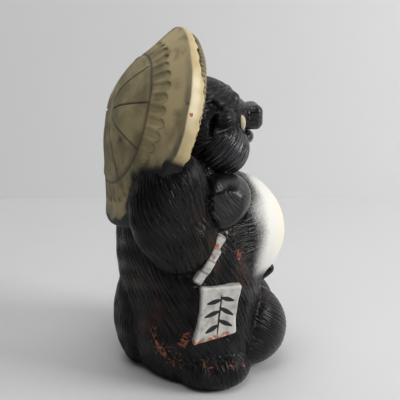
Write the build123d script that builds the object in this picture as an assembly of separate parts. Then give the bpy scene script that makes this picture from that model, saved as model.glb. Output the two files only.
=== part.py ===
"""Pottery tanuki figure, in millimetres.

The figure faces -Y, its right side is -X, and it stands on Z = 0.
Each piece of clay is cut by the pieces it is luted to, so that a slip joint is left between them.
"""

from build123d import *
from math import cos, radians, sin, sqrt
import os

# Clay
WALL = 7.0  # thickness of the hollow pieces
SLIP = 0.25  # slip joint between two pieces
VENT_DIAMETER = 3.0  # firing vents
NECK_VENT_DIAMETER = 20.0  # way from the head into the trunk

# Trunk levels: height, half width, reach to the front and reach to the back
BASE_HALF_WIDTH = 65.0
BASE_FRONT = 40.0
BASE_BACK = 50.0
SEAT_HEIGHT = 16.0
SEAT_HALF_WIDTH = 72.0
SEAT_FRONT = 48.0
SEAT_BACK = 57.0
HIP_HEIGHT = 66.0
HIP_HALF_WIDTH = 77.0
HIP_FRONT = 55.0
HIP_BACK = 64.0
CHEST_HEIGHT = 122.0
CHEST_HALF_WIDTH = 71.0
CHEST_FRONT = 47.0
CHEST_BACK = 67.0
SHOULDER_HEIGHT = 164.0
SHOULDER_HALF_WIDTH = 56.0
SHOULDER_FRONT = 30.0
SHOULDER_BACK = 58.0
NECK_HEIGHT = 196.0
NECK_HALF_WIDTH = 34.0
NECK_FRONT = 14.0
NECK_BACK = 38.0
TRUNK_SEAM_Y = 8.0  # where the front and the back shell meet
COIL_WIDTH = 14.0
COIL_THICKNESS = 4.0
BASE_PLATE_THICKNESS = 8.0
BASE_VENT_Y = 24.0

# Belly and breasts
BELLY_HEIGHT = 116.0
BELLY_HALF_WIDTH = 56.0
BELLY_RADIUS = 52.0
BELLY_STAND_OUT = 30.0  # beyond the front of the trunk
BREAST_X = 38.0
BREAST_HEIGHT = 152.0
BREAST_HALF_WIDTH = 22.0
BREAST_HALF_DEPTH = 20.0
BREAST_HALF_HEIGHT = 27.0
BREAST_LEAN = 32.0  # degrees that the lower end goes back
BREAST_STAND_OUT = 9.5

# Money bag and the stub above it
BAG_X = 21.0
BAG_HEIGHT = 34.0
BAG_RADIUS = 36.0
BAG_STAND_OUT = 25.0
STUB_HEIGHT = 63.0
STUB_DIAMETER = 6.5
STUB_LENGTH = 25.0
STUB_SINK = 6.0  # of its length that starts inside the trunk's front
STUB_RISE = 42.0  # degrees above level

# Feet and tail
FOOT_Y = -4.0
FOOT_HEIGHT = 15.0
FOOT_HALF_WIDTH = 32.0
FOOT_HALF_LENGTH = 32.0
FOOT_HALF_HEIGHT = 23.0
FOOT_STAND_OUT = 13.0  # beyond the side of the trunk
TAIL_HEIGHT = 44.0
TAIL_HALF_WIDTH = 31.0
TAIL_HALF_DEPTH = 22.0
TAIL_HALF_HEIGHT = 47.0
TAIL_STAND_OUT = 10.0

# Arms and claws
ARM_Y = 30.0
ARM_HEIGHT = 151.0
ARM_HALF_WIDTH = 27.0
ARM_HALF_DEPTH = 36.0
ARM_HALF_HEIGHT = 47.0
ARM_LEAN = 12.0  # degrees that the lower end goes forward
ARM_TURN = 12.0  # degrees that the back goes outward
ARM_STAND_OUT = 21.0
PAW_Y = 17.0
PAW_HEIGHT = 125.5
PAW_HALF_WIDTH = 18.0
PAW_HALF_DEPTH = 22.0
PAW_HALF_LENGTH = 27.0
PAW_TURN = 37.0  # degrees that its upper end goes forward
PAW_STAND_OUT = 11.0
CLAW_COUNT = 4
CLAW_LENGTH = 10.0
CLAW_WIDTH = 9.4
CLAW_THICKNESS = 11.0
CLAW_PITCH = 9.8
CLAW_ROW_OFFSET = 19.4  # of the row in front of the paw's outermost line, measured round the paw

# Passbook at the right hip
BOOK_Y = -5.0
BOOK_HEIGHT = 74.0  # of its middle
BOOK_WIDTH = 34.0
BOOK_FRONT_EDGE = 41.0
BOOK_BACK_EDGE = 49.0
BOOK_WAIST = 2.5  # how far its long edges curve in
BOOK_SLANT = 4.0  # how far its foot lies behind its top
BOOK_STAND_OUT = 5.0

# Flask at the left hip
FLASK_Y = 2.0
FLASK_BOTTOM = 40.0
FLASK_RADIUS = 17.0
FLASK_FOOT_RADIUS = 13.0
FLASK_BODY_HEIGHT = 43.0
FLASK_NECK_RADIUS = 6.0
FLASK_LIP_RADIUS = 8.5
FLASK_HEIGHT = 60.0
FLASK_LIP_HEIGHT = 4.0
FLASK_STAND_OUT = 17.0

# Head, with places given from the middle of the head
HEAD_Y = 4.0
HEAD_RISE = 17.0  # from the top of the trunk to the middle of the head
HEAD_HALF_WIDTH = 44.0
HEAD_HALF_DEPTH = 47.0
HEAD_HALF_HEIGHT = 38.5
HEAD_SEAM = 3.0  # behind its middle
JOWL_X = 24.5
JOWL_DROP = 18.0
JOWL_RADIUS = 24.0
JOWL_STAND_OUT = 11.5
CHEEK_PAD_X = 33.0
CHEEK_PAD_RISE = 10.0
CHEEK_PAD_HALF_WIDTH = 11.0
CHEEK_PAD_HALF_DEPTH = 15.0
CHEEK_PAD_HALF_HEIGHT = 11.0
CHEEK_PAD_STAND_OUT = 2.5
EYE_X = 13.0
EYE_RISE = 19.0
EYE_RADIUS = 7.5
EYE_STAND_OUT = 0.8
MUZZLE_RISE = 5.0
MUZZLE_HALF_WIDTH = 23.0
MUZZLE_HALF_DEPTH = 20.0
MUZZLE_HALF_HEIGHT = 14.0
MUZZLE_STAND_OUT = 4.5
NOSE_RISE = 2.5
NOSE_WIDTH = 27.0
NOSE_DEPTH = 22.0
NOSE_HEIGHT = 24.0
NOSE_ROUND = 8.0
NOSE_STAND_OUT = 10.0  # beyond the muzzle
LIP_DROP = 15.5
LIP_HALF_WIDTH = 13.0
LIP_HALF_DEPTH = 9.0
LIP_HALF_HEIGHT = 7.0
LIP_STAND_OUT = 11.0
TOOTH_X = 24.0
TOOTH_RISE = 2.0
TOOTH_HALF_WIDTH = 4.0
TOOTH_HALF_DEPTH = 4.0
TOOTH_HALF_HEIGHT = 7.0
TOOTH_STAND_OUT = 2.2

# Hat, with its place given from the middle of the head
HAT_BACK = 30.0
HAT_RISE = -4.0
HAT_TILT = 22.0  # degrees that its top turns up
HAT_RADIUS = 87.0
HAT_RIM = 9.0  # thickness of the rim
HAT_DOME = 38.0  # height of the crown above the rim's front edge
HAT_SHOULDER_RADIUS = 66.0  # where the crown's slope eases towards the rim
HAT_SHOULDER_HEIGHT = 17.5
HAT_EDGE_SLOPE = 0.3  # rise over run where the crown leaves the rim
HAT_MARK_DEPTH = 1.6  # of the tool marks in the crown
RING_RADIUS = 53.0  # pressed ring on the crown
RING_WIDTH = 2.2
SPOKE_COUNT = 9
SPOKE_INNER_RADIUS = 9.0
SPOKE_WIDTH = 2.0
SPOKE_START = 22.0  # degrees from the hat's top
SCALLOP_COUNT = 40
SCALLOP_WIDTH = 7.0
SCALLOP_LENGTH = 16.0
LINING_BULGE = 16.0
LINING_INNER_RADIUS = 40.0
LINING_EDGE = 1.0  # of the rim that is left showing round the lining


def between(height, heights, values):
    """Value at a height, on straight lines through the levels."""
    for low in range(len(heights) - 1):
        if height <= heights[low + 1]:
            break
    share = (height - heights[low]) / (heights[low + 1] - heights[low])
    return values[low] + share * (values[low + 1] - values[low])


TRUNK_HEIGHTS = [0.0, SEAT_HEIGHT, HIP_HEIGHT, CHEST_HEIGHT, SHOULDER_HEIGHT, NECK_HEIGHT]
TRUNK_HALF_WIDTHS = [
    BASE_HALF_WIDTH, SEAT_HALF_WIDTH, HIP_HALF_WIDTH, CHEST_HALF_WIDTH, SHOULDER_HALF_WIDTH, NECK_HALF_WIDTH
]
TRUNK_FRONTS = [BASE_FRONT, SEAT_FRONT, HIP_FRONT, CHEST_FRONT, SHOULDER_FRONT, NECK_FRONT]
TRUNK_BACKS = [BASE_BACK, SEAT_BACK, HIP_BACK, CHEST_BACK, SHOULDER_BACK, NECK_BACK]


def trunk_side(height):
    """Half width of the trunk at a height."""
    return between(height, TRUNK_HEIGHTS, TRUNK_HALF_WIDTHS)


def trunk_front(height, x=0.0):
    """How far the trunk reaches to the front at a height and a distance from the middle."""
    reach = between(height, TRUNK_HEIGHTS, TRUNK_FRONTS)
    return reach * sqrt(max(0.0, 1 - (x / trunk_side(height)) ** 2))


def trunk_back(height):
    """How far the trunk reaches to the back at a height."""
    return between(height, TRUNK_HEIGHTS, TRUNK_BACKS)


HEAD_HEIGHT = NECK_HEIGHT + HEAD_RISE


def face_y(x, rise):
    """Y of the head's front at a distance from its middle plane and a rise above its middle."""
    share = max(0.0, 1 - (x / HEAD_HALF_WIDTH) ** 2 - (rise / HEAD_HALF_HEIGHT) ** 2)
    return HEAD_Y - HEAD_HALF_DEPTH * sqrt(share)


def ball(place, half_width, half_depth, half_height, grow=0.0):
    """Ellipsoid round a place."""
    return Pos(*place) * scale(Sphere(1), by=(half_width + grow, half_depth + grow, half_height + grow))


def main_solid(shape):
    """The largest solid that is left of a cut piece."""
    return shape.solids().sort_by(SortBy.VOLUME)[-1]


def above_ground(shape):
    """The piece with what is below the ground cut off."""
    return split(shape, bisect_by=Plane.XY, keep=Keep.TOP)


def front_of(shape, y):
    """The part of a piece in front of an upright plane across the figure."""
    return split(shape, bisect_by=Plane((0, y, 0), z_dir=(0, -1, 0)), keep=Keep.TOP)


def back_of(shape, y):
    """The part of a piece behind an upright plane across the figure."""
    return split(shape, bisect_by=Plane((0, y, 0), z_dir=(0, 1, 0)), keep=Keep.TOP)


def mirrored(shape):
    """The left-hand piece of a right-hand one."""
    return mirror(shape, about=Plane.YZ)


# Forms of the outside of each piece, which also cut its neighbours when grown by the slip joint


def trunk_form(grow=0.0):
    """Trunk, lofted through its levels."""
    faces = []
    for height, half_width, front, back in zip(TRUNK_HEIGHTS, TRUNK_HALF_WIDTHS, TRUNK_FRONTS, TRUNK_BACKS):
        behind = EllipticalCenterArc((0, 0), half_width + grow, back + grow, start_angle=0, arc_size=180)
        before = EllipticalCenterArc((0, 0), half_width + grow, front + grow, start_angle=180, arc_size=180)
        top = grow if height == NECK_HEIGHT else 0.0
        faces.append(Pos(0, 0, height + top) * make_face([*behind.edges(), *before.edges()]))
    return loft(faces)


def belly_form(grow=0.0):
    y = BELLY_RADIUS - trunk_front(BELLY_HEIGHT) - BELLY_STAND_OUT
    return ball((0, y, BELLY_HEIGHT), BELLY_HALF_WIDTH, BELLY_RADIUS, BELLY_RADIUS, grow)


def breast_form(grow=0.0):
    y = BREAST_HALF_DEPTH - trunk_front(BREAST_HEIGHT, BREAST_X) - BREAST_STAND_OUT
    lobe = ball((0, 0, 0), BREAST_HALF_WIDTH, BREAST_HALF_DEPTH, BREAST_HALF_HEIGHT, grow)
    return Pos(-BREAST_X, y, BREAST_HEIGHT) * Rot(BREAST_LEAN, 0, 0) * lobe


def bag_form(grow=0.0):
    """Two round lobes side by side."""
    y = BAG_RADIUS - trunk_front(BAG_HEIGHT) - BAG_STAND_OUT
    lobe = Pos(-BAG_X, y, BAG_HEIGHT) * Sphere(BAG_RADIUS + grow)
    return lobe + mirrored(lobe)


def foot_form(grow=0.0):
    x = FOOT_HALF_WIDTH - trunk_side(FOOT_HEIGHT) - FOOT_STAND_OUT
    return ball((x, FOOT_Y, FOOT_HEIGHT), FOOT_HALF_WIDTH, FOOT_HALF_LENGTH, FOOT_HALF_HEIGHT, grow)


def tail_form():
    y = trunk_back(TAIL_HEIGHT) + TAIL_STAND_OUT - TAIL_HALF_DEPTH
    return ball((0, y, TAIL_HEIGHT), TAIL_HALF_WIDTH, TAIL_HALF_DEPTH, TAIL_HALF_HEIGHT)


PAW_X = PAW_HALF_WIDTH - trunk_side(PAW_HEIGHT) - PAW_STAND_OUT
PAW_FRAME = Pos(PAW_X, PAW_Y, PAW_HEIGHT) * Rot(PAW_TURN, 0, 0)


def arm_form(grow=0.0):
    """Shoulder and arm in one mass that leans forward, with the paw at its lower end."""
    x = ARM_HALF_WIDTH - trunk_side(ARM_HEIGHT) - ARM_STAND_OUT
    turn = Rot(0, 0, ARM_TURN) * Rot(-ARM_LEAN, 0, 0)
    mass = turn * ball((0, 0, 0), ARM_HALF_WIDTH, ARM_HALF_DEPTH, ARM_HALF_HEIGHT, grow)
    paw = ball((0, 0, 0), PAW_HALF_WIDTH, PAW_HALF_DEPTH, PAW_HALF_LENGTH, grow)
    return Pos(x, ARM_Y, ARM_HEIGHT) * mass + PAW_FRAME * paw


def head_form(grow=0.0):
    return ball((0, HEAD_Y, HEAD_HEIGHT), HEAD_HALF_WIDTH, HEAD_HALF_DEPTH, HEAD_HALF_HEIGHT, grow)


def jowl_form(grow=0.0):
    y = face_y(JOWL_X, -JOWL_DROP) - JOWL_STAND_OUT + JOWL_RADIUS
    place = (-JOWL_X, y, HEAD_HEIGHT - JOWL_DROP)
    return ball(place, JOWL_RADIUS, JOWL_RADIUS, JOWL_RADIUS, grow)


def cheek_pad_form(grow=0.0):
    y = face_y(CHEEK_PAD_X, CHEEK_PAD_RISE) - CHEEK_PAD_STAND_OUT + CHEEK_PAD_HALF_DEPTH
    place = (-CHEEK_PAD_X, y, HEAD_HEIGHT + CHEEK_PAD_RISE)
    return ball(place, CHEEK_PAD_HALF_WIDTH, CHEEK_PAD_HALF_DEPTH, CHEEK_PAD_HALF_HEIGHT, grow)


def eye_form(grow=0.0):
    y = face_y(EYE_X, EYE_RISE) - EYE_STAND_OUT + EYE_RADIUS
    return ball((-EYE_X, y, HEAD_HEIGHT + EYE_RISE), EYE_RADIUS, EYE_RADIUS, EYE_RADIUS, grow)


MUZZLE_FRONT = face_y(0, MUZZLE_RISE) - MUZZLE_STAND_OUT


def muzzle_form(grow=0.0):
    place = (0, MUZZLE_FRONT + MUZZLE_HALF_DEPTH, HEAD_HEIGHT + MUZZLE_RISE)
    return ball(place, MUZZLE_HALF_WIDTH, MUZZLE_HALF_DEPTH, MUZZLE_HALF_HEIGHT, grow)


def nose_form(grow=0.0):
    """Block with well rounded edges."""
    block = Box(NOSE_WIDTH + 2 * grow, NOSE_DEPTH + 2 * grow, NOSE_HEIGHT + 2 * grow)
    place = Pos(0, MUZZLE_FRONT - NOSE_STAND_OUT + NOSE_DEPTH / 2, HEAD_HEIGHT + NOSE_RISE)
    return place * fillet(block.edges(), NOSE_ROUND + grow)


def lip_form(grow=0.0):
    y = face_y(0, -LIP_DROP) - LIP_STAND_OUT + LIP_HALF_DEPTH
    return ball((0, y, HEAD_HEIGHT - LIP_DROP), LIP_HALF_WIDTH, LIP_HALF_DEPTH, LIP_HALF_HEIGHT, grow)


def tooth_form():
    y = face_y(TOOTH_X, TOOTH_RISE) - TOOTH_STAND_OUT + TOOTH_HALF_DEPTH
    place = (-TOOTH_X, y, HEAD_HEIGHT + TOOTH_RISE)
    return ball(place, TOOTH_HALF_WIDTH, TOOTH_HALF_DEPTH, TOOTH_HALF_HEIGHT)


# The hat is turned about its own axis, along Z in its own frame, with the rim's front edge at Z = 0
HAT_FRAME = Location(
    Plane(
        origin=(0, HEAD_Y + HAT_BACK, HEAD_HEIGHT + HAT_RISE),
        x_dir=(1, 0, 0),
        z_dir=(0, cos(radians(HAT_TILT)), sin(radians(HAT_TILT))),
    )
)


def crown_form(inset=0.0):
    """Domed crown on its straight rim, solid."""
    radius = HAT_RADIUS - inset
    shoulder = (HAT_SHOULDER_RADIUS, HAT_SHOULDER_HEIGHT - inset)
    ends = ((-1, HAT_EDGE_SLOPE), (-1, 0))
    dome = Spline((radius, HAT_RIM - inset), shoulder, (0, HAT_DOME - inset), tangents=ends)
    rim = Polyline((0, HAT_DOME - inset), (0, 0), (radius, 0), (radius, HAT_RIM - inset))
    profile = Plane.XZ * make_face([*dome.edges(), *rim.edges()])
    return HAT_FRAME * revolve(profile, axis=Axis.Z)


def lining_form(inset=0.0):
    """Bulged underside, a quarter ellipse turned round the hat's axis."""
    reach = HAT_RADIUS - LINING_EDGE - LINING_INNER_RADIUS - inset
    bulge = LINING_BULGE - inset
    edge = LINING_INNER_RADIUS + reach
    arc = EllipticalCenterArc((LINING_INNER_RADIUS, 0), reach, bulge, start_angle=270, arc_size=90)
    sides = Polyline((edge, 0), (0, 0), (0, -bulge), (LINING_INNER_RADIUS, -bulge))
    profile = Plane.XZ * make_face([*arc.edges(), *sides.edges()])
    return HAT_FRAME * revolve(profile, axis=Axis.Z)


# Forms that cut more than one neighbour
TRUNK_CUT = trunk_form(SLIP)
BELLY_CUT = belly_form(SLIP)
BAG_CUT = bag_form(SLIP)
HEAD_CUT = head_form(SLIP)
JOWL_CUT = jowl_form(SLIP)
JOWL_CUTS = [JOWL_CUT, mirrored(JOWL_CUT)]
EYE_CUT = eye_form(SLIP)
EYE_CUTS = [EYE_CUT, mirrored(EYE_CUT)]
MUZZLE_CUT = muzzle_form(SLIP)
BREAST_CUT = breast_form(SLIP)
ARM_CUT = arm_form(SLIP)
FOOT_CUT = foot_form(SLIP)


def trunk_shells():
    """Front and back half of the hollow trunk."""
    neck_vent = Pos(0, HEAD_Y, NECK_HEIGHT) * Cylinder(NECK_VENT_DIAMETER / 2, 4 * WALL)
    openings = [belly_form(-WALL), above_floor_of_bag(bag_form(-WALL))]
    shell = trunk_form() - trunk_form(-WALL) - neck_vent - openings
    return front_of(shell, TRUNK_SEAM_Y), back_of(shell, TRUNK_SEAM_Y)


def above_floor_of_bag(shape):
    """The part of the bag's hollow above its floor."""
    return split(shape, bisect_by=Plane.XY.offset(WALL), keep=Keep.TOP)


def base_plate():
    """Slab that closes the trunk, with its firing vent."""
    slab = Pos(0, 0, BASE_PLATE_THICKNESS / 2) * Box(4 * HIP_HALF_WIDTH, 4 * HIP_BACK, BASE_PLATE_THICKNESS)
    vent = Pos(0, BASE_VENT_Y, 0) * Cylinder(VENT_DIAMETER / 2, 4 * BASE_PLATE_THICKNESS)
    return (trunk_form(-WALL - SLIP) & slab) - vent


def seam_coil():
    """Coil of clay along the inside of the trunk's seam, on the base plate."""
    band = trunk_form(-WALL - SLIP) - trunk_form(-WALL - COIL_THICKNESS)
    strip = front_of(back_of(band, TRUNK_SEAM_Y - COIL_WIDTH / 2), TRUNK_SEAM_Y + COIL_WIDTH / 2)
    above = split(strip, bisect_by=Plane.XY.offset(BASE_PLATE_THICKNESS + SLIP), keep=Keep.TOP)
    neck_vent = Pos(0, HEAD_Y, NECK_HEIGHT) * Cylinder(NECK_VENT_DIAMETER / 2, 6 * WALL)
    return above - neck_vent


def belly_dome():
    return main_solid(belly_form() - belly_form(-WALL) - TRUNK_CUT)


def money_bag():
    hollow = above_floor_of_bag(bag_form(-WALL))
    return main_solid(above_ground(bag_form()) - hollow - [TRUNK_CUT, BELLY_CUT])


def front_stub():
    """Short rounded bar that rises from the trunk's front, between belly and bag."""
    start = (0, STUB_SINK - trunk_front(STUB_HEIGHT), STUB_HEIGHT)
    straight = STUB_LENGTH - STUB_DIAMETER / 2
    bar = Pos(0, 0, straight / 2) * Cylinder(STUB_DIAMETER / 2, straight)
    bar = bar + Pos(0, 0, straight) * Sphere(STUB_DIAMETER / 2)
    return main_solid(Pos(*start) * Rot(90 - STUB_RISE, 0, 0) * bar - [TRUNK_CUT, BELLY_CUT, BAG_CUT])


def right_foot():
    return main_solid(above_ground(foot_form()) - [TRUNK_CUT, BAG_CUT])


def tail():
    return main_solid(above_ground(tail_form()) - TRUNK_CUT)


def right_breast():
    return main_solid(breast_form() - [TRUNK_CUT, BELLY_CUT])


def right_arm():
    hat = [crown_form(-SLIP), lining_form(-SLIP)]
    return main_solid(arm_form() - [TRUNK_CUT, BELLY_CUT, BREAST_CUT, HEAD_CUT, JOWL_CUT] - hat)


def claw_forms(grow=0.0):
    """Row of claws on the right paw, moved out to the trunk's side where that stands out further."""
    claw = ball((0, 0, 0), CLAW_THICKNESS / 2, CLAW_LENGTH / 2, CLAW_WIDTH / 2, grow)
    round_paw = CLAW_ROW_OFFSET / PAW_HALF_DEPTH
    claws = []
    for number in range(CLAW_COUNT):
        along_paw = ((CLAW_COUNT - 1) / 2 - number) * CLAW_PITCH / PAW_HALF_LENGTH
        outward = PAW_HALF_WIDTH * cos(round_paw) * cos(along_paw)
        forward = PAW_HALF_DEPTH * sin(round_paw) * cos(along_paw)
        seat = PAW_FRAME * Pos(-outward, -forward, PAW_HALF_LENGTH * sin(along_paw))
        covered = max(0.0, trunk_side(seat.position.Z) + seat.position.X)
        claws.append(Pos(-covered, 0, 0) * seat * claw)
    return claws


def right_claws():
    """Claws side by side, each cut to fit the ones before it."""
    slips = claw_forms(SLIP)
    claws = []
    for number, claw in enumerate(claw_forms()):
        claws.append(main_solid(claw - [ARM_CUT, TRUNK_CUT, *slips[:number]]))
    return Compound(children=claws)


def passbook():
    """Plaque with long edges that curve in, seated against the trunk."""
    front = BOOK_Y - BOOK_WIDTH / 2
    back = BOOK_Y + BOOK_WIDTH / 2
    top = BOOK_HEIGHT + BOOK_FRONT_EDGE / 2
    front_foot = BOOK_HEIGHT - BOOK_FRONT_EDGE / 2
    back_foot = top - BOOK_BACK_EDGE
    front_waist = front + BOOK_SLANT / 2 + BOOK_WAIST
    back_waist = back + BOOK_SLANT / 2 - BOOK_WAIST
    outline = [
        Line((back, top), (front, top)),
        ThreePointArc((front, top), (front_waist, (top + front_foot) / 2), (front + BOOK_SLANT, front_foot)),
        Line((front + BOOK_SLANT, front_foot), (back + BOOK_SLANT, back_foot)),
        ThreePointArc((back + BOOK_SLANT, back_foot), (back_waist, (top + back_foot) / 2), (back, top)),
    ]
    face = Plane.YZ * make_face([edge.edge() for edge in outline])
    outer = -trunk_side(BOOK_HEIGHT) - BOOK_STAND_OUT
    block = Pos(outer, 0, 0) * extrude(face, amount=BOOK_WIDTH, dir=(1, 0, 0))
    return main_solid(block - [TRUNK_CUT, ARM_CUT, FOOT_CUT, *claw_forms(SLIP)])


def flask():
    """Bottle with a narrow neck and a lip, seated against the trunk."""
    wide = FLASK_BODY_HEIGHT / 2
    lip_start = FLASK_HEIGHT - FLASK_LIP_HEIGHT
    side = Spline((FLASK_FOOT_RADIUS, 0), (FLASK_RADIUS, wide), (FLASK_NECK_RADIUS, FLASK_BODY_HEIGHT))
    rest = Polyline(
        (FLASK_NECK_RADIUS, FLASK_BODY_HEIGHT),
        (FLASK_NECK_RADIUS, lip_start),
        (FLASK_LIP_RADIUS, lip_start),
        (FLASK_LIP_RADIUS, FLASK_HEIGHT),
        (0, FLASK_HEIGHT),
        (0, 0),
        (FLASK_FOOT_RADIUS, 0),
    )
    bottle = revolve(Plane.XZ * make_face([*side.edges(), *rest.edges()]), axis=Axis.Z)
    x = trunk_side(FLASK_BOTTOM + wide) + FLASK_STAND_OUT - FLASK_RADIUS
    claws = [mirrored(claw) for claw in claw_forms(SLIP)]
    cuts = [TRUNK_CUT, mirrored(FOOT_CUT), mirrored(ARM_CUT), *claws]
    return main_solid(Pos(x, FLASK_Y, FLASK_BOTTOM) * bottle - cuts)


def head_shells():
    """Front and back half of the hollow head, open to the trunk and vented into the hat."""
    back = Pos(0, HEAD_Y + HEAD_HALF_DEPTH, HEAD_HEIGHT) * Rot(90, 0, 0)
    vent = back * Cylinder(VENT_DIAMETER / 2, 4 * WALL)
    shell = head_form() - head_form(-WALL) - [TRUNK_CUT, vent, *EYE_CUTS]
    seam = HEAD_Y + HEAD_SEAM
    return main_solid(front_of(shell, seam)), main_solid(back_of(shell, seam))


def right_eye():
    return eye_form()


def right_jowl():
    half = split(jowl_form(), bisect_by=Plane.YZ.offset(-SLIP / 2), keep=Keep.BOTTOM)
    return main_solid(half - [HEAD_CUT, TRUNK_CUT, BREAST_CUT])


def right_cheek_pad():
    return main_solid(cheek_pad_form() - [HEAD_CUT, JOWL_CUT, MUZZLE_CUT, EYE_CUT])


def muzzle():
    return main_solid(muzzle_form() - [HEAD_CUT, *JOWL_CUTS, *EYE_CUTS])


def nose():
    return main_solid(nose_form() - [MUZZLE_CUT, HEAD_CUT, *JOWL_CUTS])


def lower_lip():
    return main_solid(lip_form() - [HEAD_CUT, MUZZLE_CUT, nose_form(SLIP), *JOWL_CUTS])


def teeth():
    """A tooth at each corner of the mouth."""
    cuts = [HEAD_CUT, MUZZLE_CUT, JOWL_CUT, cheek_pad_form(SLIP)]
    tooth = main_solid(tooth_form() - cuts)
    return Compound(children=[tooth, mirrored(tooth)])


def crown_marks():
    """Ring, spokes and thumb marks pressed into the crown to one depth."""
    ring = Circle(RING_RADIUS + RING_WIDTH / 2) - Circle(RING_RADIUS - RING_WIDTH / 2)
    spoke_length = RING_RADIUS - SPOKE_INNER_RADIUS
    spoke = Pos(SPOKE_INNER_RADIUS + spoke_length / 2, 0) * Rectangle(spoke_length, SPOKE_WIDTH)
    scallop_start = RING_RADIUS + RING_WIDTH
    scallop = Pos(scallop_start + SCALLOP_LENGTH / 2, 0) * SlotOverall(SCALLOP_LENGTH, SCALLOP_WIDTH)
    outlines = [ring]
    for number in range(SPOKE_COUNT):
        outlines.append(Rot(0, 0, -90 - SPOKE_START - 360 * number / SPOKE_COUNT) * spoke)
    for number in range(SCALLOP_COUNT):
        outlines.append(Rot(0, 0, 90 + 360 * (number + 0.5) / SCALLOP_COUNT) * scallop)
    tools = [HAT_FRAME * extrude(outline, amount=2 * HAT_DOME) for outline in outlines]
    return Part() + tools - crown_form(HAT_MARK_DEPTH)


def hat_crown():
    """Hollow crown with its tool marks, notched where its rim meets the trunk's back."""
    return main_solid(crown_form() - crown_form(WALL) - crown_marks() - TRUNK_CUT)


def hat_lining():
    """Underside of the hat, set on the rim and open where the head goes in."""
    hole = HAT_FRAME * Cylinder(LINING_INNER_RADIUS, 4 * LINING_BULGE)
    shell = lining_form() - lining_form(WALL)
    return main_solid(shell - hole - [HEAD_CUT, TRUNK_CUT])


def pieces():
    """Every piece by name."""
    body_front, body_back = trunk_shells()
    head_front, head_back = head_shells()
    whole = {
        "body_front_shell": body_front,
        "body_back_shell": body_back,
        "base_plate": base_plate(),
        "seam_coil": seam_coil(),
        "belly_dome": belly_dome(),
        "money_bag": money_bag(),
        "front_stub": front_stub(),
        "tail": tail(),
        "head_front_shell": head_front,
        "head_back_shell": head_back,
        "muzzle": muzzle(),
        "nose": nose(),
        "lower_lip": lower_lip(),
        "teeth": teeth(),
        "hat_crown": hat_crown(),
        "hat_lining": hat_lining(),
        "passbook": passbook(),
        "flask": flask(),
    }
    pairs = {
        "foot": right_foot(),
        "arm": right_arm(),
        "claws": right_claws(),
        "breast": right_breast(),
        "jowl": right_jowl(),
        "cheek_pad": right_cheek_pad(),
        "eye": right_eye(),
    }
    for name, right in pairs.items():
        whole["right_" + name] = right
        whole["left_" + name] = mirrored(right)
    return whole


os.makedirs("parts", exist_ok=True)
for node, solid in pieces().items():
    export_step(solid, "parts/" + node + ".step")
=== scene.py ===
"""Painted pottery tanuki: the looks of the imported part.

Places and sizes are in millimetres in the CAD frame until a mesh is made, in metres.
The figure faces -Y, its right side is -X, and it stands on Z = 0.
"""

import math

import bpy
import numpy as np
from mathutils import Matrix, Vector


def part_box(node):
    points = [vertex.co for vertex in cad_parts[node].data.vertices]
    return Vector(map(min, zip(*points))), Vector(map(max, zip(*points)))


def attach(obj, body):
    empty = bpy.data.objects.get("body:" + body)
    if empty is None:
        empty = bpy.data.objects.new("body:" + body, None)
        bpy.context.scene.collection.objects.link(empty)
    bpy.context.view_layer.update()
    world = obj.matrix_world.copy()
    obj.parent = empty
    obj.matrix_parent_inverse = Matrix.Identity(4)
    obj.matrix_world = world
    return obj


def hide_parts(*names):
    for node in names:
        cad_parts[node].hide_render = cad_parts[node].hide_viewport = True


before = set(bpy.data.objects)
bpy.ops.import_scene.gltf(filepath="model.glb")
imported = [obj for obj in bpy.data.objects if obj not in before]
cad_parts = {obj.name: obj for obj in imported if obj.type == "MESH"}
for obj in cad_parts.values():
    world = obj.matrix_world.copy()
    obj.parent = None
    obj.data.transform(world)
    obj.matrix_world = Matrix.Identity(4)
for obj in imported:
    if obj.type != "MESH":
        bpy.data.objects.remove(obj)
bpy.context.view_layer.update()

MM = 0.001
STEP = 1.1  # of the clay body's mesh
FINE_STEP = 0.5  # of the small pieces' meshes
PAD = 9.0  # room round a CAD node for soft lutes


# Camera, as the photograph was taken

CAMERA_TARGET = Vector((0, 0, 0.150))
CAMERA_AZIMUTH = 258.0
CAMERA_ELEVATION = 18.0
CAMERA_DISTANCE = 1.1
CAMERA_FIELD = 0.3396  # width of the picture at the target
CAMERA_SHIFT = (0.0125, -0.02)


def camera_direction():
    """From the target to the camera."""
    azimuth = math.radians(CAMERA_AZIMUTH)
    elevation = math.radians(CAMERA_ELEVATION)
    level = math.cos(elevation)
    return Vector((math.sin(azimuth) * level, -math.cos(azimuth) * level, math.sin(elevation)))


def add_camera():
    data = bpy.data.cameras.new("camera")
    data.lens = data.sensor_width * CAMERA_DISTANCE / CAMERA_FIELD
    data.shift_x, data.shift_y = CAMERA_SHIFT
    camera = bpy.data.objects.new("camera", data)
    bpy.context.scene.collection.objects.link(camera)
    camera.location = CAMERA_TARGET + CAMERA_DISTANCE * camera_direction()
    camera.rotation_mode = "QUATERNION"
    camera.rotation_quaternion = (-camera_direction()).to_track_quat("-Z", "Y")
    bpy.context.scene.camera = camera


# Numbers


def fade(low, high, values):
    """Smooth step from 0 at low to 1 at high."""
    share = np.clip((values - low) / (high - low), 0, 1)
    return share * share * (3 - 2 * share)


def ripple(points, size, seed):
    """Smooth waves of about a size, without a visible repeat, from about -1 to 1."""
    numbers = np.random.default_rng(seed)
    total = np.zeros(points.shape[:-1])
    for _ in range(6):
        direction = numbers.normal(size=3)
        direction *= numbers.uniform(0.7, 1.4) * 2 * math.pi / size / np.linalg.norm(direction)
        total += np.sin(points @ direction + numbers.uniform(0, 2 * math.pi))
    return total / 3


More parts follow.
